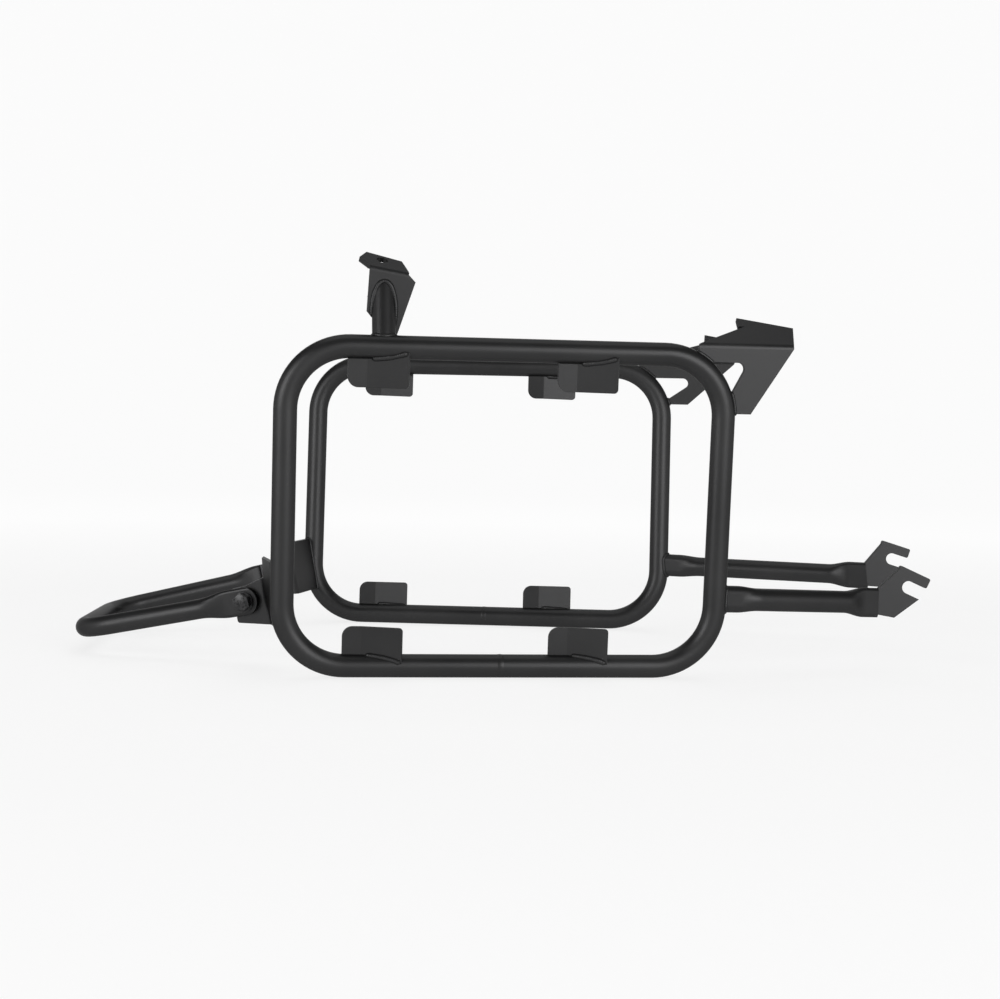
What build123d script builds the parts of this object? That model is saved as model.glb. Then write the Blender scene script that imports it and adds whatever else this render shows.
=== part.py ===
"""Motorbike pannier frame: two tube loops with bag tabs, their fixing brackets and a rear cross tube.

X points forward, Y to the rider's left and Z up. Each piece is drawn for the right-hand frame,
and the left-hand one is its mirror image with its own reaches. Millimetres and degrees.
"""
import os
from math import atan2, cos, degrees, pi, radians, sin, sqrt, tan

from build123d import *

# Loops: sizes along the tube's centre line
LOOP_LENGTH = 336.0
LOOP_HEIGHT = 243.5
LOOP_BEND = 48.0
LOOP_OD = 18.0
LOOP_WALL = 2.0
LOOP_HALF_GAP = 195.0
LOOP_TOE = 5.6
LOOP_CAMBER = 5.1

# Bag tabs: folded sheet on the long tubes
TAB_SETBACK = 46.0
TAB_PITCH = 159.5
TAB_NARROW = 15.0
TAB_WIDE = 31.5
TAB_FLARE = 13.0
TAB_PROUD = 21.5
TAB_SHEET = 3.0
TAB_FOLD = 4.0
TAB_REAR_CORNER = 8.0
TAB_FRONT_CORNER = 3.0
TAB_ROOT = 2.5

# Upper rear fixing: a leaning tube post that carries a folded flag
RIGHT_POST_SETBACK = 73.0
RIGHT_FLAG_WIDTH = 30.0
LEFT_POST_SETBACK = 64.0
LEFT_FLAG_WIDTH = 23.0
POST_OD = 18.0
POST_WALL = 2.0
POST_LEAN = 24.0
POST_INSET = 3.0
POST_RISE = 49.0
FLAG_SHEET = 4.0
FLAG_FOLD = 3.5
FLAG_FOLD_RISE = 7.5
FLAG_FOLD_AHEAD = 3.6
FLAG_SLOPE = 9.7
FLAG_DROP = 45.0
FLAG_SIDE = 33.0
FLAG_TAPER = 4.0
FLAG_CUT_WIDTH = 6.0
FLAG_CUT_HEIGHT = 5.0
FLAG_SHOULDER = 6.0
FLAG_SHOULDER_DROP = 4.5
FLAG_TURN = 63.0
FLAG_FLANGE = 20.0
FLAG_FLANGE_FALL = 4.0
FLAG_FLANGE_INSET = 6.0
FLAG_HORN = 8.5
FLAG_HORN_HEIGHT = 9.5
FLAG_HORN_CUT = 5.0
FLAG_HOLE = 8.5
FLAG_HOLE_BEHIND = 6.0
FLAG_HOLE_HEIGHT = 11.5

# Upper front brackets: folded plates in the loops' front corners
RIGHT_BRACKET_REACH = 53.0
RIGHT_BRACKET_DROP = 52.0
RIGHT_BRACKET_FOOT = 21.0
RIGHT_BRACKET_STRIP = 24.0
RIGHT_BRACKET_BAR = 12.5
RIGHT_WINDOW_LEAN = 5.0
RIGHT_FLANGE = 30.5
RIGHT_FLANGE_HORN = 12.5
LEFT_BRACKET_REACH = 69.0
LEFT_BRACKET_DROP = 41.0
LEFT_BRACKET_FOOT = 25.0
LEFT_BRACKET_STRIP = 11.5
LEFT_BRACKET_BAR = 15.5
LEFT_WINDOW_LEAN = -8.0
LEFT_FLANGE = 34.5
LEFT_FLANGE_HORN = 38.5
BRACKET_SHEET = 4.0
BRACKET_FOLD = 3.5
BRACKET_FOLD_RISE = 7.5
BRACKET_REAR = 22.0
BRACKET_TOE = 1.0
BRACKET_TURN = 50.0
BRACKET_RIM_ANGLE = 13.0
BRACKET_FLANGE_OVERHANG = 3.0
BRACKET_LIP = 9.5
BRACKET_LIP_STEP = 5.0
BRACKET_WINDOW_REAR = 4.0
BRACKET_WINDOW_CORNER = 5.0

# Lower front struts: round tube with pressed ends, and fork plates on their tips
STRUT_OD = 18.0
STRUT_WALL = 2.0
STRUT_ROOT_PRESSED = 12.5
STRUT_TIP_PRESSED = 7.0
STRUT_RISE = 54.0
STRUT_ROOT_FLAT = 12.0
STRUT_TIP_FLAT = 15.0
STRUT_NECK = 20.0
RIGHT_FORK_REACH = 146.0
RIGHT_FORK_HEIGHT = 55.0
RIGHT_FORK_PITCH = 0.0
LEFT_FORK_REACH = 184.5
LEFT_FORK_HEIGHT = 61.4
LEFT_FORK_PITCH = 7.0
FORK_HALF_GAP = 100.0
FORK_SHEET = 5.0
FORK_SLOT = 10.5
FORK_SLOT_AHEAD = 25.0
FORK_SLOT_RISE = 13.2
FORK_SLOT_DROP = 24.0
FORK_PRONG = 14.0
FORK_PRONG_WIDTH = 8.5
FORK_HEEL = 13.5
FORK_SHOULDER = 5.0
FORK_LIP = 12.2
FORK_CHIN = 27.6
FORK_TAIL_STEP = 2.5
FORK_TIP_ROUND = 1.5

# Rear cross tube, its pressed ends and the brackets that it bolts to
CROSS_OD = 16.0
CROSS_WALL = 2.0
CROSS_PRESSED = 5.0
CROSS_LENGTH = 139.0
CROSS_DROP = 30.3
CROSS_HALF_BASE = 82.0
CROSS_BEND = 40.0
CROSS_FLAT = 14.0
CROSS_NECK = 26.0
BOLT_SETBACK = 34.5
BOLT_INSET = 74.0
BOLT_HEIGHT = 50.6
REAR_SHEET = 4.0
REAR_FOLD = 6.0
REAR_FOLD_AHEAD = 18.0
REAR_EDGE = 11.0
REAR_FOOT = 32.6
REAR_CORNER = 6.0
REAR_TONGUE = 12.0
REAR_TONGUE_FALL = 3.0
REAR_EAR_AHEAD = 15.0
REAR_EAR_STEP = 8.0
RIGHT_REAR_TOP = 87.5
LEFT_REAR_TOP = 80.0

# Cross tube bolts
BOLT_D = 8.0
BOLT_CLEARANCE = 0.6
BOLT_HEAD_FLATS = 13.0
BOLT_HEAD = 5.3
BOLT_END = 2.0
WASHER_D = 16.0
WASHER = 1.6
NUT = 6.5

# Places that follow from the sizes above
LOOP_R = LOOP_OD / 2
HALF_LENGTH = LOOP_LENGTH / 2
HALF_HEIGHT = LOOP_HEIGHT / 2
LOOP_CENTRE_Z = HALF_HEIGHT * cos(radians(LOOP_CAMBER)) + LOOP_R
STAND = Pos(0, -LOOP_HALF_GAP, LOOP_CENTRE_Z) * Rot(0, 0, LOOP_TOE) * Rot(LOOP_CAMBER, 0, 0)


def stand(piece):
    """Move a piece from the loop's own axes (forward, inward, up) to its place on the right."""
    return STAND * piece


def stand_point(x, y, z):
    """Place on the right of a point given in the loop's own axes."""
    return (STAND * Pos(x, y, z)).position


def unit(angle):
    """Plan direction at an angle from forward, as two numbers."""
    return cos(radians(angle)), sin(radians(angle))


def loop_bar(radius):
    """Full bar along the loop's centre line."""
    path = (Plane.XZ * RectangleRounded(LOOP_LENGTH, LOOP_HEIGHT, LOOP_BEND)).wire()
    section = Plane(origin=path @ 0, z_dir=path % 0) * Circle(radius)
    return sweep(section, path=path)


LOOP_SOLID = loop_bar(LOOP_R)
LOOP_ON_RIGHT = stand(LOOP_SOLID)


def loop_tube():
    """Closed loop of round tube, butt welded into a ring."""
    return LOOP_ON_RIGHT - stand(loop_bar(LOOP_R - LOOP_WALL))


def bag_tab(setback, upper):
    """Folded tab: a narrow leg along the tube, then a wide leg that flares outward."""
    rear = -HALF_LENGTH + setback
    fold = rear + TAB_NARROW
    ahead, outward = unit(TAB_FLARE)
    free = (fold + TAB_WIDE * ahead, -TAB_WIDE * outward)
    line = FilletPolyline((rear, 0), (fold, 0), free, radius=TAB_FOLD)
    height = LOOP_R + TAB_PROUD - TAB_ROOT
    tab = extrude(Pos(0, 0, TAB_ROOT) * trace(line, TAB_SHEET), amount=height)
    top = TAB_ROOT + height
    rear_corner = tab.edges().sort_by_distance((rear, 0, top))[0]
    tab = fillet(rear_corner, TAB_REAR_CORNER)
    front_corner = tab.edges().sort_by_distance((free[0], free[1], top))[0]
    tab = fillet(front_corner, TAB_FRONT_CORNER)
    tab = Pos(0, 0, -HALF_HEIGHT) * tab
    if upper:
        tab = mirror(tab, about=Plane.XY)
    return stand(tab - LOOP_SOLID)


def folded_plate(face, flange, turn, sheet, fold):
    """Sheet bent along its X axis: the face lies below the fold, the flange above turns back.

    Both outlines run past the fold, and each is used on its own side of the bend's middle.
    """
    below = -face.bounding_box().min.Y + fold
    above = flange.bounding_box().max.Y + fold
    ends = [shape.bounding_box() for shape in (face, flange)]
    left = min(end.min.X for end in ends) - fold
    right = max(end.max.X for end in ends) + fold
    up, back = unit(turn)
    line = FilletPolyline((-below, 0), (0, 0), (above * up, -above * back), radius=fold)
    strip = extrude(Plane.YZ * trace(line, sheet), amount=right - left)
    strip = Pos(left, 0, 0) * strip
    half_up, half_back = unit(turn / 2)
    middle = Plane(origin=(0, 0, 0), z_dir=(0, half_up, -half_back))
    depth = sheet / 2 + fold
    front = split(strip, bisect_by=middle, keep=Keep.BOTTOM) & extrude(face, amount=depth, both=True)
    turned = Rot(-turn, 0, 0) * extrude(flange, amount=depth, both=True)
    return front + (split(strip, bisect_by=middle, keep=Keep.TOP) & turned)


def post_frame(setback):
    """Loop-space axes of a post: its foot inside the top tube's crest, Z along its lean."""
    foot = Location((-HALF_LENGTH + setback, POST_INSET, HALF_HEIGHT))
    return foot * Rot(-POST_LEAN, 0, 0)


FLAG_FACE_Y = POST_INSET + POST_RISE * tan(radians(POST_LEAN))
FLAG_FACE_Y -= POST_OD / 2 / cos(radians(POST_LEAN))


def post(setback):
    """Tube stub, coped to the loop below and cut flush with the flag's outer face above."""
    length = POST_RISE / cos(radians(POST_LEAN)) + POST_OD
    rod = Cylinder(POST_OD / 2, length, align=(Align.CENTER, Align.CENTER, Align.MIN))
    bore = Cylinder(POST_OD / 2 - POST_WALL, length, align=(Align.CENTER, Align.CENTER, Align.MIN))
    tube = post_frame(setback) * (rod - bore)
    tube = split(tube, bisect_by=Plane.XZ.offset(-FLAG_FACE_Y), keep=Keep.TOP)
    coped = tube - LOOP_SOLID
    outside = coped.solids().sort_by(Axis.Z)[-1]
    return stand(outside)


def flag(setback, width):
    """Folded plate on the post, with a skewed flange and its bolt hole."""
    half = width / 2
    corners = [
        (-half, 0),
        (-half + FLAG_TAPER, -FLAG_SIDE),
        (-half + FLAG_TAPER + FLAG_CUT_WIDTH, -FLAG_SIDE - FLAG_CUT_HEIGHT),
        (half, -FLAG_DROP),
        (half + FLAG_SHOULDER, -FLAG_SHOULDER_DROP),
        (half, 0),
        (half, FLAG_SHEET),
        (-half, FLAG_SHEET),
    ]
    face = make_face(Polyline(*corners, close=True))
    rim = [
        (-half, -FLAG_SHEET),
        (-half, 0),
        (-half - FLAG_HORN, FLAG_HORN_HEIGHT),
        (-half - FLAG_HORN + FLAG_HORN_CUT, FLAG_FLANGE),
        (half - FLAG_FLANGE_INSET, FLAG_FLANGE - FLAG_FLANGE_FALL),
        (half, 0),
        (half, -FLAG_SHEET),
    ]
    flange = make_face(Polyline(*rim, close=True))
    flange -= Pos(-FLAG_HOLE_BEHIND, FLAG_HOLE_HEIGHT) * Circle(FLAG_HOLE / 2)
    plate = folded_plate(face, flange, FLAG_TURN, FLAG_SHEET, FLAG_FOLD)
    seat = Pos(
        -HALF_LENGTH + setback + FLAG_FOLD_AHEAD,
        FLAG_FACE_Y + FLAG_SHEET / 2,
        HALF_HEIGHT + POST_RISE + FLAG_FOLD_RISE,
    )
    placed = seat * Rot(0, FLAG_SLOPE, 0) * (Plane.XZ * plate)
    return stand(placed - LOOP_SOLID)


def front_bracket(reach, drop, foot, strip, bar, lean, height, horn):
    """Plate coped into the loop's front corner, with a window and a horned flange folded inward.

    The window leaves a bar under the fold and a strip along the plate's sloping front edge,
    and its own front side leans from that edge.
    """
    outline = [
        (-BRACKET_REAR, -drop),
        (-BRACKET_REAR, BRACKET_SHEET),
        (reach, BRACKET_SHEET),
        (reach, -BRACKET_TOE),
        (foot, -drop),
    ]
    face = make_face(Polyline(*outline, close=True))
    within = RectangleRounded(LOOP_LENGTH, LOOP_HEIGHT, LOOP_BEND)
    face -= Pos(-HALF_LENGTH, -BRACKET_FOLD_RISE - HALF_HEIGHT) * within
    down = Vector(foot - reach, BRACKET_TOE - drop).normalized()
    edge = Vector(reach, -BRACKET_TOE) + Vector(down.Y, -down.X) * strip
    apex = edge + down * ((-bar - edge.Y) / down.Y)
    side = down.rotate(Axis.Z, lean)
    low = apex + side * ((-drop - apex.Y) / side.Y)
    sides = [
        (-BRACKET_REAR + BRACKET_WINDOW_REAR, -bar),
        apex,
        low,
        (-LOOP_BEND, -BRACKET_FOLD_RISE - LOOP_BEND),
    ]
    window = make_face(Polyline(*sides, close=True))
    window = fillet(window.vertices().sort_by_distance(apex)[0], BRACKET_WINDOW_CORNER)
    tip = reach + BRACKET_FLANGE_OVERHANG
    fall = (tip - horn) * tan(radians(BRACKET_RIM_ANGLE))
    rim = [
        (-BRACKET_REAR, -BRACKET_SHEET),
        (-BRACKET_REAR, 0),
        (horn + BRACKET_LIP_STEP, height - BRACKET_LIP),
        (horn, height - BRACKET_LIP),
        (horn, height),
        (tip, height - fall),
        (reach, 0),
        (reach, -BRACKET_SHEET),
    ]
    flange = make_face(Polyline(*rim, close=True))
    plate = folded_plate(face - window, flange, BRACKET_TURN, BRACKET_SHEET, BRACKET_FOLD)
    seat = Pos(HALF_LENGTH, 0, HALF_HEIGHT + BRACKET_FOLD_RISE)
    return stand(seat * (Plane.XZ * plate) - LOOP_SOLID)


def tube_section(od, pressed, share):
    """Section of a tube on its way from round (0) to pressed flat (1), of four edges.

    The flat sides run along Y. The girth of the flat end is that of the round tube.
    """
    radius = od / 2
    flat_half = pi * (od - pressed) / 4
    corner = radius / sqrt(2)
    bulge = radius - corner
    long = corner + share * (flat_half - corner)
    thin = corner + share * (pressed / 2 - corner)
    side_bulge = bulge * (1 - share)
    end_bulge = bulge + share * (pressed / 2 - bulge)
    a, b, c, d = (thin, -long), (thin, long), (-thin, long), (-thin, -long)
    if share < 1:
        sides = [ThreePointArc(a, (thin + side_bulge, 0), b), ThreePointArc(c, (-thin - side_bulge, 0), d)]
    else:
        sides = [Line(a, b), Line(c, d)]
    ends = [ThreePointArc(b, (0, long + end_bulge), c), ThreePointArc(d, (0, -long - end_bulge), a)]
    return make_face([sides[0], ends[0], sides[1], ends[1]])


def pressed_width(od, pressed):
    """Width of a tube's pressed end."""
    return pressed + pi * (od - pressed) / 2


def neck(plane, length, od, pressed, from_flat):
    """Smooth passage between the round tube and its pressed end, along the plane's normal."""
    sections = []
    steps = 4
    for step in range(steps + 1):
        along = step / steps
        share = along * along * (3 - 2 * along)
        if from_flat:
            share = 1 - share
        sections.append(plane.offset(along * length) * tube_section(od, pressed, share))
    return loft(sections)


def fork_plane(reach, height, pitch):
    """Axes of a fork plate: the middle of its tail edge, X forward along the plate, Y up."""
    front = HALF_LENGTH * cos(radians(LOOP_TOE))
    ahead, up = unit(pitch)
    return Plane(origin=(front + reach, -FORK_HALF_GAP, height), x_dir=(ahead, 0, up), z_dir=(0, -1, 0))


def strut(reach, height, pitch):
    """Tube from the loop's front to the fork, pressed flat and upright at both ends."""
    root = stand_point(HALF_LENGTH, 0, -HALF_HEIGHT + STRUT_RISE)
    tip = fork_plane(reach, height, pitch)
    along = tip.origin - root
    across = along.cross(Vector(0, 0, 1)).normalized()
    start = Plane(origin=root, x_dir=across, z_dir=along)
    root_flat = LOOP_R + STRUT_ROOT_FLAT
    tip_flat = along.length - STRUT_TIP_FLAT
    root_end = tube_section(STRUT_OD, STRUT_ROOT_PRESSED, 1)
    tip_end = tube_section(STRUT_OD, STRUT_TIP_PRESSED, 1)
    round_bar = tube_section(STRUT_OD, STRUT_TIP_PRESSED, 0)
    round_start = root_flat + STRUT_NECK
    round_end = tip_flat - STRUT_NECK
    body = extrude(start * root_end, amount=root_flat)
    body += neck(start.offset(root_flat), STRUT_NECK, STRUT_OD, STRUT_ROOT_PRESSED, True)
    body += extrude(start.offset(round_start) * round_bar, amount=round_end - round_start)
    body += neck(start.offset(round_end), STRUT_NECK, STRUT_OD, STRUT_TIP_PRESSED, False)
    body += extrude(start.offset(tip_flat) * tip_end, amount=STRUT_TIP_FLAT + STRUT_OD)
    bore = start.offset(round_start) * Circle(STRUT_OD / 2 - STRUT_WALL)
    body -= extrude(bore, amount=round_end - round_start)
    end = Plane(origin=tip.origin, z_dir=tip.x_dir)
    return split(body, bisect_by=end, keep=Keep.BOTTOM) - LOOP_ON_RIGHT


def fork(reach, height, pitch):
    """Plate with an open slot that drops onto a bolt, its upper prong longer than its lip."""
    tail = pressed_width(STRUT_OD, STRUT_TIP_PRESSED) / 2
    slot = Pos(FORK_SLOT_AHEAD, FORK_SLOT_RISE) * Rot(0, 0, -FORK_SLOT_DROP)
    half = FORK_SLOT / 2

    def at(x, y):
        return (slot * Pos(x, y, 0)).position

    prong_top = half + FORK_PRONG_WIDTH
    heel = at(-FORK_HEEL, prong_top)
    outline = Polyline(
        (0, -tail + FORK_TAIL_STEP),
        at(0, -FORK_CHIN),
        at(FORK_LIP, -half),
        at(0, -half),
        at(0, half),
        at(FORK_PRONG, half),
        at(FORK_PRONG, prong_top),
        heel,
        at(-FORK_HEEL, half + FORK_SHOULDER),
        (0, tail),
        close=True,
    )
    plate = make_face(outline)
    for corner in (at(FORK_PRONG, half), at(FORK_PRONG, prong_top), heel):
        plate = fillet(plate.vertices().sort_by_distance(corner)[0], FORK_TIP_ROUND)
    plate -= slot * Circle(half)
    return extrude(fork_plane(reach, height, pitch) * plate, amount=FORK_SHEET / 2, both=True)


# The cross tube lies in a plane that drops towards the rear
BOLT_ON_TUBE = stand_point(
    -HALF_LENGTH,
    0,
    (BOLT_HEIGHT - LOOP_CENTRE_Z) / cos(radians(LOOP_CAMBER)),
)
BOLT = BOLT_ON_TUBE + Vector(-BOLT_SETBACK, BOLT_INSET, 0)
BASE = Vector(BOLT.X - CROSS_LENGTH, 0, BOLT.Z - CROSS_DROP)
CROSS_SLOPE = degrees(atan2(CROSS_DROP, CROSS_LENGTH))
CROSS_X = Vector(cos(radians(CROSS_SLOPE)), 0, sin(radians(CROSS_SLOPE)))
CROSS_PLANE = Plane(origin=BASE, x_dir=CROSS_X, z_dir=(-CROSS_X.Z, 0, CROSS_X.X))
BOLT_2D = CROSS_PLANE.to_local_coords(BOLT)
CORNER_2D = Vector(0, -CROSS_HALF_BASE)
ARM = (CORNER_2D - BOLT_2D).normalized()
INWARD = Vector(-ARM.Y, ARM.X) * -1


def cross_tube():
    """Trapezoid of round tube with pressed, drilled ends."""
    width = pressed_width(CROSS_OD, CROSS_PRESSED)
    neck_start = BOLT_2D + ARM * CROSS_FLAT
    round_start = neck_start + ARM * CROSS_NECK
    left_start = Vector(round_start.X, -round_start.Y)
    left_corner = Vector(CORNER_2D.X, -CORNER_2D.Y)
    line = FilletPolyline(round_start, CORNER_2D, left_corner, left_start, radius=CROSS_BEND)
    path = (CROSS_PLANE * line).wire()
    upright = CROSS_PLANE.z_dir
    first = Plane(origin=path @ 0, x_dir=upright.cross(path % 0), z_dir=path % 0)
    tube = sweep(first * tube_section(CROSS_OD, CROSS_PRESSED, 0), path=path)
    back = path % 0 * -1
    passage = Plane(origin=path @ 0, x_dir=upright.cross(back), z_dir=back)
    end = neck(passage, CROSS_NECK, CROSS_OD, CROSS_PRESSED, False)
    flat_start = passage.offset(CROSS_NECK)
    flat = extrude(flat_start * tube_section(CROSS_OD, CROSS_PRESSED, 1), amount=CROSS_FLAT + width / 2)
    lug = Plane(origin=BOLT, x_dir=back, z_dir=passage.x_dir)
    outline = Pos(-CROSS_FLAT / 2, 0) * Rectangle(CROSS_FLAT, width) + Circle(width / 2)
    outline -= Circle((BOLT_D + BOLT_CLEARANCE) / 2)
    end += flat & extrude(lug * outline, amount=CROSS_OD, both=True)
    bore = sweep(first * Circle(CROSS_OD / 2 - CROSS_WALL), path=path)
    return tube + end + mirror(end, about=Plane.XZ) - bore


def rear_bracket(top):
    """Folded plate from the loop's rear tube to the inside of the cross tube's pressed end."""
    middle = INWARD * (CROSS_PRESSED / 2 + REAR_SHEET / 2)
    tail = BOLT_2D + ARM * REAR_EDGE + middle
    fold = BOLT_2D - ARM * REAR_FOLD_AHEAD + middle
    tube_low = stand_point(-HALF_LENGTH, 0, -HALF_HEIGHT)
    tube_high = stand_point(-HALF_LENGTH, 0, HALF_HEIGHT)
    low = CROSS_PLANE.to_local_coords(tube_low)
    high = CROSS_PLANE.to_local_coords(tube_high)
    weld = low + (high - low) * (-low.Z / (high.Z - low.Z))
    line = FilletPolyline((tail.X, tail.Y), (fold.X, fold.Y), (weld.X, weld.Y), radius=REAR_FOLD)
    strip = extrude(CROSS_PLANE * trace(line, REAR_SHEET), amount=LOOP_HEIGHT / 2, both=True)
    tube_x = BOLT_ON_TUBE.X
    ear_x = BOLT.X + REAR_EAR_AHEAD
    rear_x = BOLT.X - REAR_EDGE
    tongue_top = BOLT.Z + REAR_TONGUE
    corners = [
        (tube_x + LOOP_R, REAR_FOOT),
        (tube_x + LOOP_R, top),
        (ear_x, top),
        (ear_x, tongue_top + REAR_EAR_STEP),
        (BOLT.X, tongue_top),
        (rear_x, tongue_top - REAR_TONGUE_FALL),
        (rear_x, REAR_FOOT + REAR_CORNER),
        (rear_x + REAR_CORNER, REAR_FOOT),
    ]
    outline = make_face(Polyline(*corners, close=True))
    side_view = extrude(Plane.XZ * outline, amount=LOOP_HALF_GAP + HALF_LENGTH)
    hole = bolt_axis() * Cylinder((BOLT_D + BOLT_CLEARANCE) / 2, 4 * CROSS_OD)
    return (strip & side_view) - hole - LOOP_ON_RIGHT


def bolt_axis():
    """Axes of the right-hand bolt: origin in the middle of the pressed end, Z inward."""
    inward = CROSS_PLANE.from_local_coords(BOLT_2D + INWARD) - CROSS_PLANE.from_local_coords(BOLT_2D)
    return Plane(origin=BOLT, x_dir=CROSS_PLANE.z_dir, z_dir=inward).location


UP = (Align.CENTER, Align.CENTER, Align.MIN)
OUTER_FACE = -CROSS_PRESSED / 2
INNER_FACE = CROSS_PRESSED / 2 + REAR_SHEET


def hexagon(height):
    """Hexagon prism of the bolt's head and nut."""
    return extrude(RegularPolygon(BOLT_HEAD_FLATS / 2, 6, major_radius=False), amount=height)


def bolt():
    """Hexagon bolt from the outside."""
    under_head = OUTER_FACE - WASHER
    end = INNER_FACE + WASHER + NUT + BOLT_END
    head = Pos(0, 0, under_head - BOLT_HEAD) * hexagon(BOLT_HEAD)
    shank = Pos(0, 0, under_head) * Cylinder(BOLT_D / 2, end - under_head, align=UP)
    return bolt_axis() * (head + shank)


def washer(face):
    """Plain washer whose lower face is at a height on the bolt."""
    ring = Circle(WASHER_D / 2) - Circle((BOLT_D + BOLT_CLEARANCE) / 2)
    return bolt_axis() * (Pos(0, 0, face) * extrude(ring, amount=WASHER))


def nut():
    """Hexagon nut on the inside."""
    hole = Cylinder((BOLT_D + BOLT_CLEARANCE) / 2, NUT, align=UP)
    return bolt_axis() * (Pos(0, 0, INNER_FACE + WASHER) * (hexagon(NUT) - hole))


def both_sides(pieces):
    """One group of the right-hand pieces and their mirror images."""
    group = []
    for piece in pieces:
        group += [piece, mirror(piece, about=Plane.XZ)]
    return Compound([solid for piece in group for solid in piece.solids()])


SIDES = {
    "right": {
        "post": RIGHT_POST_SETBACK,
        "flag_width": RIGHT_FLAG_WIDTH,
        "bracket": (
            RIGHT_BRACKET_REACH,
            RIGHT_BRACKET_DROP,
            RIGHT_BRACKET_FOOT,
            RIGHT_BRACKET_STRIP,
            RIGHT_BRACKET_BAR,
            RIGHT_WINDOW_LEAN,
            RIGHT_FLANGE,
            RIGHT_FLANGE_HORN,
        ),
        "fork": (RIGHT_FORK_REACH, RIGHT_FORK_HEIGHT, RIGHT_FORK_PITCH),
        "rear_top": RIGHT_REAR_TOP,
    },
    "left": {
        "post": LEFT_POST_SETBACK,
        "flag_width": LEFT_FLAG_WIDTH,
        "bracket": (
            LEFT_BRACKET_REACH,
            LEFT_BRACKET_DROP,
            LEFT_BRACKET_FOOT,
            LEFT_BRACKET_STRIP,
            LEFT_BRACKET_BAR,
            LEFT_WINDOW_LEAN,
            LEFT_FLANGE,
            LEFT_FLANGE_HORN,
        ),
        "fork": (LEFT_FORK_REACH, LEFT_FORK_HEIGHT, LEFT_FORK_PITCH),
        "rear_top": LEFT_REAR_TOP,
    },
}


def side_frame(sizes):
    """Every piece of one side frame, drawn on the right."""
    return {
        "loop": loop_tube(),
        "rear_upper_tab": bag_tab(TAB_SETBACK, True),
        "front_upper_tab": bag_tab(TAB_SETBACK + TAB_PITCH, True),
        "rear_lower_tab": bag_tab(TAB_SETBACK, False),
        "front_lower_tab": bag_tab(TAB_SETBACK + TAB_PITCH, False),
        "post": post(sizes["post"]),
        "flag": flag(sizes["post"], sizes["flag_width"]),
        "front_bracket": front_bracket(*sizes["bracket"]),
        "strut": strut(*sizes["fork"]),
        "fork": fork(*sizes["fork"]),
        "rear_bracket": rear_bracket(sizes["rear_top"]),
    }


nodes = {}
for side, sizes in SIDES.items():
    for name, piece in side_frame(sizes).items():
        nodes[f"{side}_{name}"] = mirror(piece, about=Plane.XZ) if side == "left" else piece
nodes["cross_tube"] = cross_tube()
nodes["cross_tube_bolts"] = both_sides([bolt()])
nodes["cross_tube_washers"] = both_sides([washer(OUTER_FACE - WASHER), washer(INNER_FACE)])
nodes["cross_tube_nuts"] = both_sides([nut()])

# The origin is under the middle of the whole frame, on the floor
whole = Compound([solid for piece in nodes.values() for solid in piece.solids()]).bounding_box()
to_origin = Pos(-(whole.min.X + whole.max.X) / 2, 0, 0)
os.makedirs("parts", exist_ok=True)
for name, piece in nodes.items():
    export_step(to_origin * piece, f"parts/{name}.step")
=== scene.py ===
"""Looks of a motorbike pannier frame: powder coat, weld beads, threaded fasteners, studio and camera.

Lengths are in metres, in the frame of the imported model: X forward, Y to the rider's left, Z up.
"""
from math import cos, pi, radians, sin, tan, tau

import bmesh
import bpy
from mathutils import Matrix, Vector, noise
from mathutils.bvhtree import BVHTree


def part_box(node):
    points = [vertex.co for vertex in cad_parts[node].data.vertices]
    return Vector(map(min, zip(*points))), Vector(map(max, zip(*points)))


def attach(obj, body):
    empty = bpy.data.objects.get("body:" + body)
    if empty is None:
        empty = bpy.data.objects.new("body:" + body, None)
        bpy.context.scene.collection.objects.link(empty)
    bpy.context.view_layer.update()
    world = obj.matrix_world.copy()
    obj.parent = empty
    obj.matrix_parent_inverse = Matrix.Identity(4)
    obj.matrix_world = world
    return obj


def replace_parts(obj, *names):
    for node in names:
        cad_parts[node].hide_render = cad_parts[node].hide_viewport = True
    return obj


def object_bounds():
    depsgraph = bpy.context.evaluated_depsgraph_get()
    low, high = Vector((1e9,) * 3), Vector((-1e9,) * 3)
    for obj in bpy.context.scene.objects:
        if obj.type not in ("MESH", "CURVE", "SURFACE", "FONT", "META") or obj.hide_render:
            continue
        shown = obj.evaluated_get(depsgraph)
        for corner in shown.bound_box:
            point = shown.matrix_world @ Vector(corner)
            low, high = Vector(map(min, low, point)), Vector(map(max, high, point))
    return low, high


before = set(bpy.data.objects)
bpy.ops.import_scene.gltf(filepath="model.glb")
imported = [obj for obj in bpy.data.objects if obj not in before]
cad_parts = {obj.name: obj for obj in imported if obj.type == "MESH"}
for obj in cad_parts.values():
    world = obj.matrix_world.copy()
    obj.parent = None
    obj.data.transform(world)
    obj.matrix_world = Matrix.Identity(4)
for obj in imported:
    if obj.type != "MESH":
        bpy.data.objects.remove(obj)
CAD_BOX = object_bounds()

MM = 0.001
SIDES = ("right", "left")
TABS = ("rear_upper_tab", "front_upper_tab", "rear_lower_tab", "front_lower_tab")
BOLTS = "cross_tube_bolts"
WASHERS = "cross_tube_washers"
NUTS = "cross_tube_nuts"
FASTENERS = (BOLTS, WASHERS, NUTS)

# Finishes: the part of a noise value's range that is used, and the rays that round an edge
NOISE_SPAN = (0.3, 0.7)
EDGE_SAMPLES = 6

# Faces that meet at less than this are shaded as one
SMOOTH_ANGLE = radians(32)

# Seams: sharp edges of one piece that lie on another
SEAM_TOUCH = 0.25 * MM
SEAM_EDGE_ANGLE = radians(25)
SAME_POINT = 0.01 * MM

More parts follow.
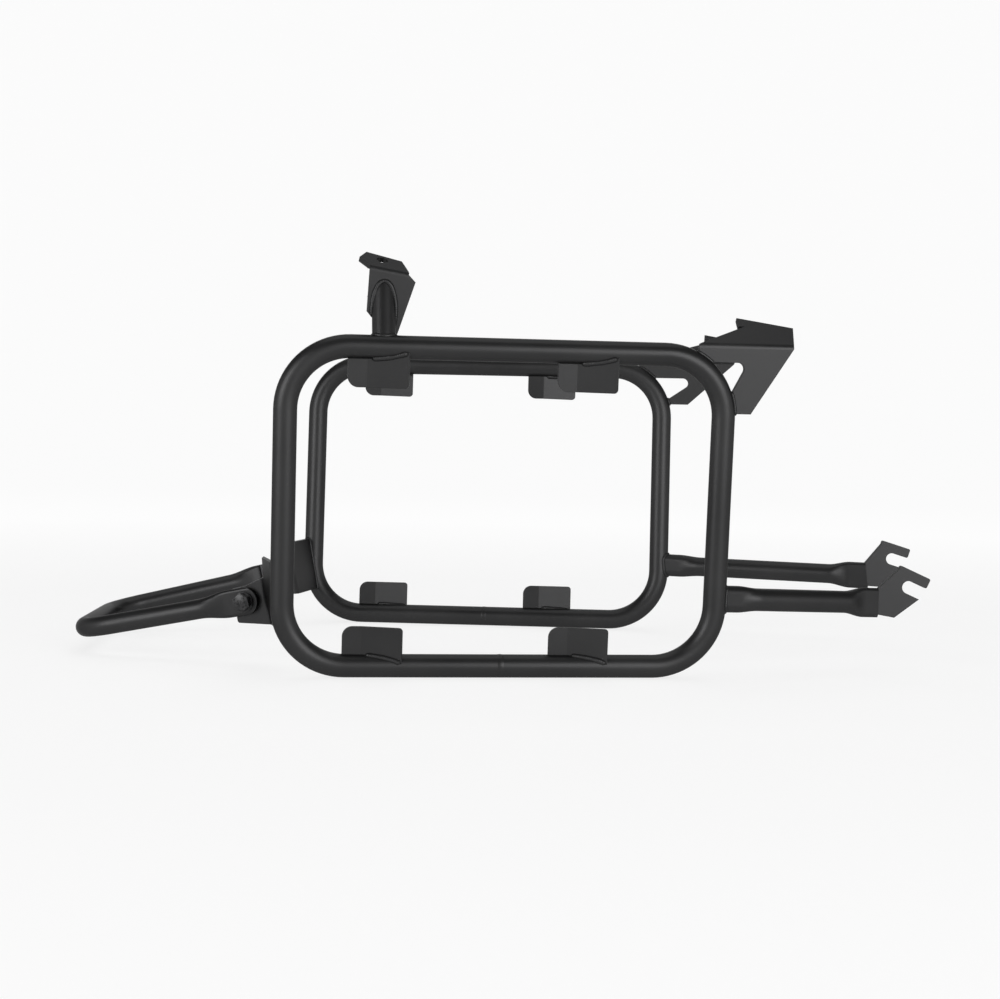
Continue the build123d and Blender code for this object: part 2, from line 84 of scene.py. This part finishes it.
# Weld beads: the ripple, the wander and the size at an open end are shares of the bead's radius
BEAD_STEP = 0.45 * MM
BEAD_FEWEST_STEPS = 4
BEAD_SIDES = 12
BEAD_EASING = 6
RIPPLE_PITCH = 1.7 * MM
RIPPLE_DEPTH = 0.10
BEAD_WANDER = 0.16
BEAD_WANDER_SIZE = 6 * MM
BEAD_TAPER = 2.2 * MM
BEAD_END_SIZE = 0.25

# Bead radii at the loop, on the flag, at the fork and at the tabs
LOOP_BEADS = {
    "post": 1.7 * MM,
    "strut": 1.6 * MM,
    "front_bracket": 1.5 * MM,
    "rear_bracket": 1.6 * MM,
}
FLAG_BEAD = 1.9 * MM
FORK_BEAD = 0.9 * MM
TAB_BEAD = 2.2 * MM

# Where a tab's beads start and end, as shares of the tab's length along X
TAB_BEAD_START = 0.38
TAB_BEAD_END = 0.97

# Dressed butt weld that closes each loop, in the middle of its lower run
BUTT_HALF_WIDTH = 3.0 * MM
BUTT_RISE = 0.22 * MM
BUTT_SINK = 0.05 * MM
BUTT_RIM_SINK = 3 * BUTT_SINK
BUTT_CLEAR = 0.8
BUTT_FADE = 0.4
BUTT_WANDER = 0.3
BUTT_WANDER_RATE = 3
BUTT_STEPS = 96
BUTT_PROFILE = 10
BUTT_RUN_LENGTH = 100 * MM
LOWER_RUN_SHARE = 0.25

# Fasteners: threads, and the chamfers of the hexagons
TURN_STEPS = 72
HALF_FLAT = pi / 6
HEAD_SHARE = 0.75
THREAD_PITCH = 1.25 * MM
THREAD_DEPTH = 0.68 * MM
THREAD_STEPS = 10
THREAD_START = 0.5
TIP_CHAMFER = 0.1 * MM
TIP_CORE = 0.5
CHAMFER_SLOPE = tan(radians(30))
CHAMFER_SHARE = 0.95
WASHER_EDGE = 0.25 * MM

# Studio: the floor's share of plain white, near the object and far from it, and both distances
FLOOR_SHADE = (0.88, 0.88, 0.88)
FLOOR_RINGS = (0.25, 0.5)
WHITE_SHARE = (0.78, 0.95)
WHITE_REACH = (0.7, 2.0)

# Camera: its place from the middle of the two loops; lens and sensor are in millimetres
CAMERA_FROM_LOOPS = Vector((-62.9, -1605.9, 66.2)) * MM
CAMERA_YAW = radians(2.403)
CAMERA_PITCH = radians(-2.365)
CAMERA_ROLL = radians(1.182)
CAMERA_LENS = 66.6
CAMERA_SENSOR = 36.0


# Finishes
def node_tree(name):
    """New material with an empty tree: its nodes, links and surface socket."""
    material = bpy.data.materials.new(name)
    material.use_nodes = True
    tree = material.node_tree
    tree.nodes.clear()
    output = tree.nodes.new("ShaderNodeOutputMaterial")
    return material, tree.nodes, tree.links, output.inputs["Surface"]


def noise_node(nodes, links, place, scale, detail):
    """Noise texture over the object's own coordinates."""
    texture = nodes.new("ShaderNodeTexNoise")
    texture.inputs["Scale"].default_value = scale
    texture.inputs["Detail"].default_value = detail
    links.new(place, texture.inputs["Vector"])
    return texture.outputs["Fac"]


def spread(nodes, links, value, ends, span=NOISE_SPAN):
    """Map a value's span to a range, and hold it at the range's ends."""
    remap = nodes.new("ShaderNodeMapRange")
    remap.inputs["From Min"].default_value = span[0]
    remap.inputs["From Max"].default_value = span[1]
    remap.inputs["To Min"].default_value = ends[0]
    remap.inputs["To Max"].default_value = ends[1]
    links.new(value, remap.inputs["Value"])
    return remap.outputs["Result"]


def shade(nodes, links, value, dark, light):
    """Colour between two greys, driven by a noise value."""
    ramp = nodes.new("ShaderNodeValToRGB")
    for stop, position, grey in zip(ramp.color_ramp.elements, NOISE_SPAN, (dark, light)):
        stop.position = position
        stop.color = (*grey, 1)
    links.new(value, ramp.inputs["Fac"])
    return ramp.outputs["Color"]


def bump(nodes, links, height, distance, strength, below):
    """Bump from a height, on top of another normal."""
    relief = nodes.new("ShaderNodeBump")
    relief.inputs["Distance"].default_value = distance
    relief.inputs["Strength"].default_value = strength
    links.new(height, relief.inputs["Height"])
    links.new(below, relief.inputs["Normal"])
    return relief.outputs["Normal"]


def soft_edges(nodes, radius):
    """Normal that rounds sharp edges by a small radius."""
    rounded = nodes.new("ShaderNodeBevel")
    rounded.samples = EDGE_SAMPLES
    rounded.inputs["Radius"].default_value = radius
    return rounded.outputs["Normal"]


def powder_coat():
    """Satin black powder coat: orange peel, a fine grain, and small drifts of shade and gloss."""
    material, nodes, links, surface = node_tree("powder_coat")
    place = nodes.new("ShaderNodeTexCoord").outputs["Object"]
    shader = nodes.new("ShaderNodeBsdfPrincipled")
    drift = noise_node(nodes, links, place, scale=14.0, detail=3.0)
    peel = noise_node(nodes, links, place, scale=520.0, detail=1.5)
    grain = noise_node(nodes, links, place, scale=2600.0, detail=2.0)
    black = shade(nodes, links, drift, dark=(0.033, 0.033, 0.0335), light=(0.040, 0.040, 0.0405))
    gloss = spread(nodes, links, drift, ends=(0.36, 0.44))
    edges = soft_edges(nodes, radius=0.6 * MM)
    skin = bump(nodes, links, peel, distance=0.05 * MM, strength=0.35, below=edges)
    relief = bump(nodes, links, grain, distance=0.012 * MM, strength=0.4, below=skin)
    links.new(black, shader.inputs["Base Color"])
    links.new(gloss, shader.inputs["Roughness"])
    links.new(relief, shader.inputs["Normal"])
    shader.inputs["Metallic"].default_value = 0.82
    shader.inputs["Specular IOR Level"].default_value = 0.3
    shader.inputs["Specular Tint"].default_value = (0.42, 0.42, 0.42, 1)
    links.new(shader.outputs["BSDF"], surface)
    return material


def black_zinc():
    """Blackened zinc plate on the fasteners: mottled dark metal with a fine grain."""
    material, nodes, links, surface = node_tree("black_zinc")
    place = nodes.new("ShaderNodeTexCoord").outputs["Object"]
    shader = nodes.new("ShaderNodeBsdfPrincipled")
    patches = noise_node(nodes, links, place, scale=560.0, detail=4.0)
    grain = noise_node(nodes, links, place, scale=3200.0, detail=2.0)
    grey = shade(nodes, links, patches, dark=(0.005, 0.005, 0.0052), light=(0.046, 0.046, 0.0475))
    gloss = spread(nodes, links, patches, ends=(0.22, 0.42))
    edges = soft_edges(nodes, radius=0.2 * MM)
    relief = bump(nodes, links, grain, distance=0.02 * MM, strength=0.5, below=edges)
    links.new(grey, shader.inputs["Base Color"])
    links.new(gloss, shader.inputs["Roughness"])
    links.new(relief, shader.inputs["Normal"])
    shader.inputs["Metallic"].default_value = 0.6
    links.new(shader.outputs["BSDF"], surface)
    return material


POWDER_COAT = powder_coat()
BLACK_ZINC = black_zinc()


def coat_nodes():
    """Give every node of the frame its finish."""
    for name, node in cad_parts.items():
        finish = BLACK_ZINC if name in FASTENERS else POWDER_COAT
        node.data.materials.clear()
        node.data.materials.append(finish)


# Meshes
def mesh_object(name, build, material):
    """Smooth object from a bmesh, linked to the scene."""
    mesh = bpy.data.meshes.new(name)
    build.to_mesh(mesh)
    build.free()
    mesh.materials.append(material)
    for polygon in mesh.polygons:
        polygon.use_smooth = True
    thing = bpy.data.objects.new(name, mesh)
    bpy.context.scene.collection.objects.link(thing)
    return thing


def new_piece(name, build, material):
    """Turn a bmesh into a piece of the object that rides with the frame."""
    bmesh.ops.recalc_face_normals(build, faces=build.faces)
    piece = mesh_object(name, build, material)
    piece.data.set_sharp_from_angle(angle=SMOOTH_ANGLE)
    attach(piece, "root")
    return piece


def skin_rings(build, rings, closed=False):
    """Skin rings of points into a tube, closed on itself or capped at both ends."""
    rows = [[build.verts.new(point) for point in ring] for ring in rings]
    pairs = list(zip(rows, rows[1:]))
    if closed:
        pairs.append((rows[-1], rows[0]))
    for first, second in pairs:
        for k, vertex in enumerate(first):
            n = (k + 1) % len(first)
            build.faces.new((vertex, first[n], second[n], second[k]))
    if not closed:
        build.faces.new(reversed(rows[0]))
        build.faces.new(rows[-1])


def welded_copy(name):
    """Copy of a node's mesh with its split vertices joined, as a bmesh."""
    copy = bmesh.new()
    copy.from_mesh(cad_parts[name].data)
    bmesh.ops.remove_doubles(copy, verts=copy.verts, dist=SAME_POINT)
    copy.verts.index_update()
    return copy


def surface_of(name):
    """Search tree of a node's surface."""
    copy = welded_copy(name)
    tree = BVHTree.FromBMesh(copy)
    copy.free()
    return tree


# Weld beads
def chains(edges):
    """Join edges, given as pairs of points with their keys, into runs of points."""
    links = {}
    points = {}
    for (key_a, a), (key_b, b) in edges:
        points[key_a] = a
        points[key_b] = b
        links.setdefault(key_a, set()).add(key_b)
        links.setdefault(key_b, set()).add(key_a)
    runs = []
    while any(links.values()):
        ends = sorted(key for key, others in links.items() if len(others) == 1)
        start = ends[0] if ends else min(key for key, others in links.items() if others)
        run = [start]
        while links[run[-1]]:
            step = min(links[run[-1]])
            links[run[-1]].discard(step)
            links[step].discard(run[-1])
            run.append(step)
        runs.append([points[key] for key in run])
    return runs


def seams(on, against):
    """Runs of sharp edges of one node that lie on the surface of another."""
    copy = welded_copy(on)
    tree = surface_of(against)

    def touches(point):
        return tree.find_nearest(point, SEAM_TOUCH)[0] is not None

    found = []
    for edge in copy.edges:
        if len(edge.link_faces) != 2 or edge.calc_face_angle() < SEAM_EDGE_ANGLE:
            continue
        a, b = edge.verts
        if touches(a.co) and touches(b.co) and touches((a.co + b.co) / 2):
            found.append(((a.index, a.co.copy()), (b.index, b.co.copy())))
    copy.free()
    return chains(found)


def resample(run, step):
    """Points at an even step along a run, and whether the run is closed."""
    closed = (run[0] - run[-1]).length < SAME_POINT
    lengths = [(b - a).length for a, b in zip(run, run[1:])]
    count = max(BEAD_FEWEST_STEPS, round(sum(lengths) / step))
    spaced = sum(lengths) / count
    points = [run[0].copy()]
    walked = 0.0
    for a, b, length in zip(run, run[1:], lengths):
        while len(points) * spaced <= walked + length + SAME_POINT and length > 0:
            points.append(a.lerp(b, (len(points) * spaced - walked) / length))
        walked += length
    if closed:
        points = points[:count]
    return points, closed


def stretches(runs, low, high):
    """The parts of runs of points between two places along X."""
    parts = []
    for run in runs:
        points, closed = resample(run, BEAD_STEP)
        inside = [low <= point.x <= high for point in points]
        if closed and False in inside:
            first = inside.index(False)
            points = points[first:] + points[:first]
            inside = inside[first:] + inside[:first]
        part = []
        for point, within in zip(points, inside):
            if within:
                part.append(point)
            elif part:
                parts.append(part)
                part = []
        if part:
            parts.append(part)
    return [part for part in parts if len(part) > BEAD_FEWEST_STEPS]


def smoothed(points, closed, rounds):
    """Points eased towards the middle of their neighbours."""
    count = len(points)
    for _ in range(rounds):
        eased = []
        for i, point in enumerate(points):
            if not closed and i in (0, count - 1):
                eased.append(point)
            else:
                eased.append((points[i - 1] + point * 2 + points[(i + 1) % count]) / 4)
        points = eased
    return points


def bead_rings(points, closed, radius):
    """Rings of a rippled bead along a run of points."""
    count = len(points)
    angles = [tau * k / BEAD_SIDES for k in range(BEAD_SIDES)]
    rings = []
    side = None
    for i, point in enumerate(points):
        before = points[i - 1] if closed or i > 0 else point
        after = points[(i + 1) % count] if closed or i < count - 1 else point
        tangent = (after - before).normalized()
        side = tangent.orthogonal() if side is None else side - tangent * side.dot(tangent)
        side.normalize()
        other = tangent.cross(side)
        size = 1 - RIPPLE_DEPTH * (1 - abs(sin(pi * i * BEAD_STEP / RIPPLE_PITCH)))
        size += BEAD_WANDER * noise.noise(point / BEAD_WANDER_SIZE)
        if not closed:
            end = min(i, count - 1 - i) * BEAD_STEP
            size *= BEAD_END_SIZE + (1 - BEAD_END_SIZE) * sin(pi / 2 * min(1.0, end / BEAD_TAPER))
        rings.append([point + (side * cos(a) + other * sin(a)) * radius * size for a in angles])
    return rings


def weld(name, runs, radius):
    """Weld bead piece along runs of points; no runs, no piece."""
    if not runs:
        return
    build = bmesh.new()
    for run in runs:
        points, closed = resample(run, BEAD_STEP)
        points = smoothed(points, closed, BEAD_EASING)
        skin_rings(build, bead_rings(points, closed, radius), closed)
    new_piece(name, build, POWDER_COAT)


def tab_weld(name, loop):
    """Two short beads along the root of a tab's wide leg, one on each face."""
    low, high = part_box(name)
    start = low.x + TAB_BEAD_START * (high.x - low.x)
    end = low.x + TAB_BEAD_END * (high.x - low.x)
    weld(f"{name}_weld", stretches(seams(name, loop), start, end), TAB_BEAD)


def lower_run(loop):
    """Middle, direction and radius of the straight lower run of a loop, from its long edges."""
    copy = welded_copy(loop)
    low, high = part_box(loop)
    lower = low.z + LOWER_RUN_SHARE * (high.z - low.z)
    straight = [edge.verts for edge in copy.edges if edge.calc_length() > BUTT_RUN_LENGTH]
    ends = [v.co.copy() for verts in straight if max(v.co.z for v in verts) < lower for v in verts]
    copy.free()
    middle = sum(ends, Vector()) / len(ends)
    rear = [point for point in ends if point.x < middle.x]
    front = [point for point in ends if point.x > middle.x]
    along = (sum(front, Vector()) / len(front) - sum(rear, Vector()) / len(rear)).normalized()
    arms = [point - middle for point in ends]
    radius = max((arm - along * arm.dot(along)).length for arm in arms)
    return middle, along, radius


def butt_weld(side):
    """Low dressed band round the middle of a loop's lower run, sunk on the floor side."""
    middle, along, radius = lower_run(f"{side}_loop")
    up = (Vector((0, 0, 1)) - along * along.z).normalized()
    across = along.cross(up)
    rings = []
    for k in range(BUTT_STEPS):
        angle = tau * k / BUTT_STEPS
        out = up * cos(angle) + across * sin(angle)
        clear = min(1.0, max(0.0, (out.z + BUTT_CLEAR) / BUTT_FADE))
        wander = 1 + BUTT_WANDER * noise.noise(out * BUTT_WANDER_RATE)
        rim = out * (radius - BUTT_RIM_SINK)
        ring = [middle - along * BUTT_HALF_WIDTH + rim]
        for i in range(BUTT_PROFILE + 1):
            place = 2 * i / BUTT_PROFILE - 1
            rise = clear * wander * BUTT_RISE * (1 + cos(pi * place)) / 2 - BUTT_SINK
            ring.append(middle + along * place * BUTT_HALF_WIDTH + out * (radius + rise))
        ring.append(middle + along * BUTT_HALF_WIDTH + rim)
        rings.append(ring)
    build = bmesh.new()
    skin_rings(build, rings, closed=True)
    new_piece(f"{side}_loop_butt_weld", build, POWDER_COAT)


def weld_side(side):
    """All the welds of one side of the frame."""
    loop = f"{side}_loop"
    for part, radius in LOOP_BEADS.items():
        weld(f"{side}_{part}_weld", seams(f"{side}_{part}", loop), radius)
    weld(f"{side}_flag_weld", seams(f"{side}_post", f"{side}_flag"), FLAG_BEAD)
    weld(f"{side}_fork_weld", seams(f"{side}_fork", f"{side}_strut"), FORK_BEAD)
    for tab in TABS:
        tab_weld(f"{side}_{tab}", loop)
    butt_weld(side)


# Fasteners
class Lathe:
    """Turns rings about a fastener's axis, with the sizes that its plain body gives."""

    def __init__(self, points, centre, along):
        self.centre = centre
        self.along = along
        self.travels = [(point - centre).dot(along) for point in points]
        arms = [point - centre - along * travel for point, travel in zip(points, self.travels)]
        self.radii = [arm.length for arm in arms]
        self.outer = max(self.radii)
        self.inner = min(self.radii)
        self.low = min(self.travels)
        self.high = max(self.travels)
        self.corner = arms[self.radii.index(self.outer)].normalized()
        self.other = along.cross(self.corner)

    def ring(self, radius, travel):
        """Ring of points; radius and travel are values or functions of the angle."""
        points = []
        for k in range(TURN_STEPS):
            angle = tau * k / TURN_STEPS
            r = radius(angle) if callable(radius) else radius
            t = travel(angle) if callable(travel) else travel
            arm = self.corner * cos(angle) + self.other * sin(angle)
            points.append(self.centre + arm * r + self.along * t)
        return points

    def flats(self, angle):
        """Radius of the hexagon at an angle from a corner."""
        return self.outer * cos(HALF_FLAT) / cos(angle % (2 * HALF_FLAT) - HALF_FLAT)

    def chamfer(self, face, inward):
        """Rings of a hexagon's chamfered end: the edge of its face, then the cone's edge on the flats."""
        circle = self.outer * cos(HALF_FLAT) * CHAMFER_SHARE

        def cone(angle):
            return face + inward * (self.flats(angle) - circle) * CHAMFER_SLOPE

        return [self.ring(circle, face), self.ring(self.flats, cone)]


def islands(name):
    """Points of each separate body of a node."""
    copy = welded_copy(name)
    waiting = set(copy.verts)
    bodies = []
    for vertex in copy.verts:
        if vertex not in waiting:
            continue
        waiting.discard(vertex)
        body = [vertex]
        for member in body:
            for edge in member.link_edges:
                other = edge.other_vert(member)
                if other in waiting:
                    waiting.discard(other)
                    body.append(other)
        bodies.append([member.co.copy() for member in body])
    copy.free()
    return bodies


def bolt_rings(lathe):
    """Rings of a hexagon bolt from the face of its head to its threaded tip."""
    edge = lathe.outer * HEAD_SHARE
    under_head = max(travel for travel, radius in zip(lathe.travels, lathe.radii) if radius > edge)
    shank = max(radius for radius in lathe.radii if radius < edge)
    start = under_head + (lathe.high - under_head) * THREAD_START
    rows = round((lathe.high - start) / THREAD_PITCH * THREAD_STEPS)

    def thread(travel):
        """Radius at one travel of the thread, as a function of the angle."""
        run_in = min(1.0, (travel - start) / THREAD_PITCH)
        tip = max(shank - THREAD_DEPTH - TIP_CHAMFER + (lathe.high - travel), shank * TIP_CORE)

        def radius(angle):
            turn = (travel / THREAD_PITCH - angle / tau) % 1
            return min(shank - run_in * THREAD_DEPTH * (1 - abs(2 * turn - 1)), tip)

        return radius

    rings = lathe.chamfer(lathe.low, 1)
    rings += [lathe.ring(lathe.flats, under_head), lathe.ring(shank, under_head)]
    for row in range(rows + 1):
        travel = start + (lathe.high - start) * row / rows
        rings.append(lathe.ring(thread(travel), travel))
    return rings


def nut_rings(lathe):
    """Rings of a nut, chamfered on both faces, round through its bore."""
    rings = [lathe.ring(lathe.inner, lathe.low), *lathe.chamfer(lathe.low, 1)]
    return rings + [*reversed(lathe.chamfer(lathe.high, -1)), lathe.ring(lathe.inner, lathe.high)]


def washer_rings(lathe):
    """Rings of a flat washer with softened outer edges."""
    low, high, outer = lathe.low, lathe.high, lathe.outer
    sections = [(lathe.inner, low), (outer - WASHER_EDGE, low), (outer, low + WASHER_EDGE)]
    sections += [(outer, high - WASHER_EDGE), (outer - WASHER_EDGE, high), (lathe.inner, high)]
    return [lathe.ring(radius, travel) for radius, travel in sections]


def detail_fasteners():
    """Detailed bolts, washers and nuts in place of the plain ones, on the axes the washers give."""
    axes = {}
    washers = [sum(points, Vector()) / len(points) for points in islands(WASHERS)]
    for flip in (-1, 1):
        pair = [centre for centre in washers if centre.y * flip > 0]
        outer, inner = sorted(pair, key=lambda centre: -abs(centre.y))
        axes[flip] = (outer, (inner - outer).normalized())
    kinds = (
        (BOLTS, bolt_rings, False),
        (WASHERS, washer_rings, True),
        (NUTS, nut_rings, True),
    )
    for name, rings, closed in kinds:
        build = bmesh.new()
        for points in islands(name):
            flip = 1 if points[0].y > 0 else -1
            skin_rings(build, rings(Lathe(points, *axes[flip])), closed)
        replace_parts(new_piece(f"{name}_detail", build, BLACK_ZINC), name)


# Studio
def studio_white():
    """Pale floor that looks near white to the camera and in reflections, and keeps the shadow."""
    material, nodes, links, surface = node_tree("studio_white")
    cloth = nodes.new("ShaderNodeBsdfDiffuse")
    cloth.inputs["Color"].default_value = (*FLOOR_SHADE, 1)
    white = nodes.new("ShaderNodeEmission")
    rays = nodes.new("ShaderNodeLightPath")
    seen = rays.outputs["Is Camera Ray"]
    for kind in ("Is Glossy Ray", "Is Transmission Ray"):
        either = nodes.new("ShaderNodeMath")
        either.operation = "MAXIMUM"
        links.new(seen, either.inputs[0])
        links.new(rays.outputs[kind], either.inputs[1])
        seen = either.outputs[0]
    away = nodes.new("ShaderNodeVectorMath")
    away.operation = "LENGTH"
    links.new(nodes.new("ShaderNodeNewGeometry").outputs["Position"], away.inputs[0])
    share = nodes.new("ShaderNodeMath")
    share.operation = "MULTIPLY"
    links.new(seen, share.inputs[0])
    links.new(spread(nodes, links, away.outputs["Value"], WHITE_SHARE, WHITE_REACH), share.inputs[1])
    both = nodes.new("ShaderNodeMixShader")
    links.new(share.outputs[0], both.inputs["Fac"])
    links.new(cloth.outputs[0], both.inputs[1])
    links.new(white.outputs[0], both.inputs[2])
    links.new(both.outputs[0], surface)
    return material


def studio_bowl(radius, height, bend, bend_steps, around):
    """Round floor that bends up into a low backdrop on every side."""
    flat = radius - bend
    profile = [(radius * share, 0.0) for share in FLOOR_RINGS] + [(flat, 0.0)]
    for i in range(1, bend_steps + 1):
        angle = pi / 2 * i / bend_steps
        profile.append((flat + bend * sin(angle), bend - bend * cos(angle)))
    profile.append((radius, height))
    build = bmesh.new()
    turns = [tau * k / around for k in range(around)]
    rows = []
    for reach, z in profile:
        rows.append([build.verts.new((reach * cos(turn), reach * sin(turn), z)) for turn in turns])
    build.faces.new(rows[0])
    for first, second in zip(rows, rows[1:]):
        for k in range(around):
            n = (k + 1) % around
            build.faces.new((first[k], second[k], second[n], first[n]))
    mesh_object("studio_bowl", build, studio_white())


def soft_lamp(name, azimuth, elevation, distance, width, height, brightness):
    """Rectangular soft lamp that looks at the object; azimuth is to the right of the camera's side."""
    turn = radians(azimuth)
    rise = radians(elevation)
    middle = (CAD_BOX[0] + CAD_BOX[1]) / 2
    toward = Vector((sin(turn) * cos(rise), -cos(turn) * cos(rise), sin(rise)))
    lamp = bpy.data.lights.new(name, "AREA")
    lamp.shape = "RECTANGLE"
    lamp.size = width
    lamp.size_y = height
    lamp.energy = brightness * pi * width * height
    holder = bpy.data.objects.new(name, lamp)
    holder.location = middle + toward * distance
    holder.rotation_euler = toward.to_track_quat("Z", "Y").to_euler()
    holder.visible_camera = False
    bpy.context.scene.collection.objects.link(holder)


def world_light(strength):
    """Even grey surround."""
    world = bpy.data.worlds.new("studio_world")
    bpy.context.scene.world = world
    world.use_nodes = True
    background = world.node_tree.nodes["Background"]
    background.inputs["Color"].default_value = (1, 1, 1, 1)
    background.inputs["Strength"].default_value = strength


def photo_camera():
    """Camera at the photograph's place, measured from the middle of the two loops."""
    corners = [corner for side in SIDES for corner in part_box(f"{side}_loop")]
    loops = sum(corners, Vector()) / len(corners)
    forward = Vector((
        sin(CAMERA_YAW) * cos(CAMERA_PITCH),
        cos(CAMERA_YAW) * cos(CAMERA_PITCH),
        sin(CAMERA_PITCH),
    ))
    level = Vector((cos(CAMERA_YAW), -sin(CAMERA_YAW), 0))
    upright = level.cross(forward)
    right = level * cos(CAMERA_ROLL) + upright * sin(CAMERA_ROLL)
    up = upright * cos(CAMERA_ROLL) - level * sin(CAMERA_ROLL)
    data = bpy.data.cameras.new("photo_camera")
    data.lens = CAMERA_LENS
    data.sensor_width = CAMERA_SENSOR
    camera = bpy.data.objects.new("photo_camera", data)
    turn = Matrix((right, up, -forward)).transposed().to_4x4()
    camera.matrix_world = Matrix.Translation(loops + CAMERA_FROM_LOOPS) @ turn
    bpy.context.scene.collection.objects.link(camera)
    bpy.context.scene.camera = camera


coat_nodes()
for side in SIDES:
    weld_side(side)
detail_fasteners()

studio_bowl(radius=4.6, height=2.2, bend=1.2, bend_steps=12, around=96)
soft_lamp("right_lamp", azimuth=32, elevation=12, distance=2.3, width=1.5, height=1.3, brightness=4.6)
soft_lamp("left_lamp", azimuth=-50, elevation=12, distance=2.3, width=1.1, height=1.3, brightness=5.0)
soft_lamp("top_lamp", azimuth=180, elevation=80, distance=2.6, width=2.4, height=2.4, brightness=1.25)
soft_lamp("back_lamp", azimuth=180, elevation=34, distance=2.8, width=2.6, height=1.2, brightness=2.0)
world_light(0.14)
photo_camera()
bpy.context.scene.view_settings.view_transform = "Standard"
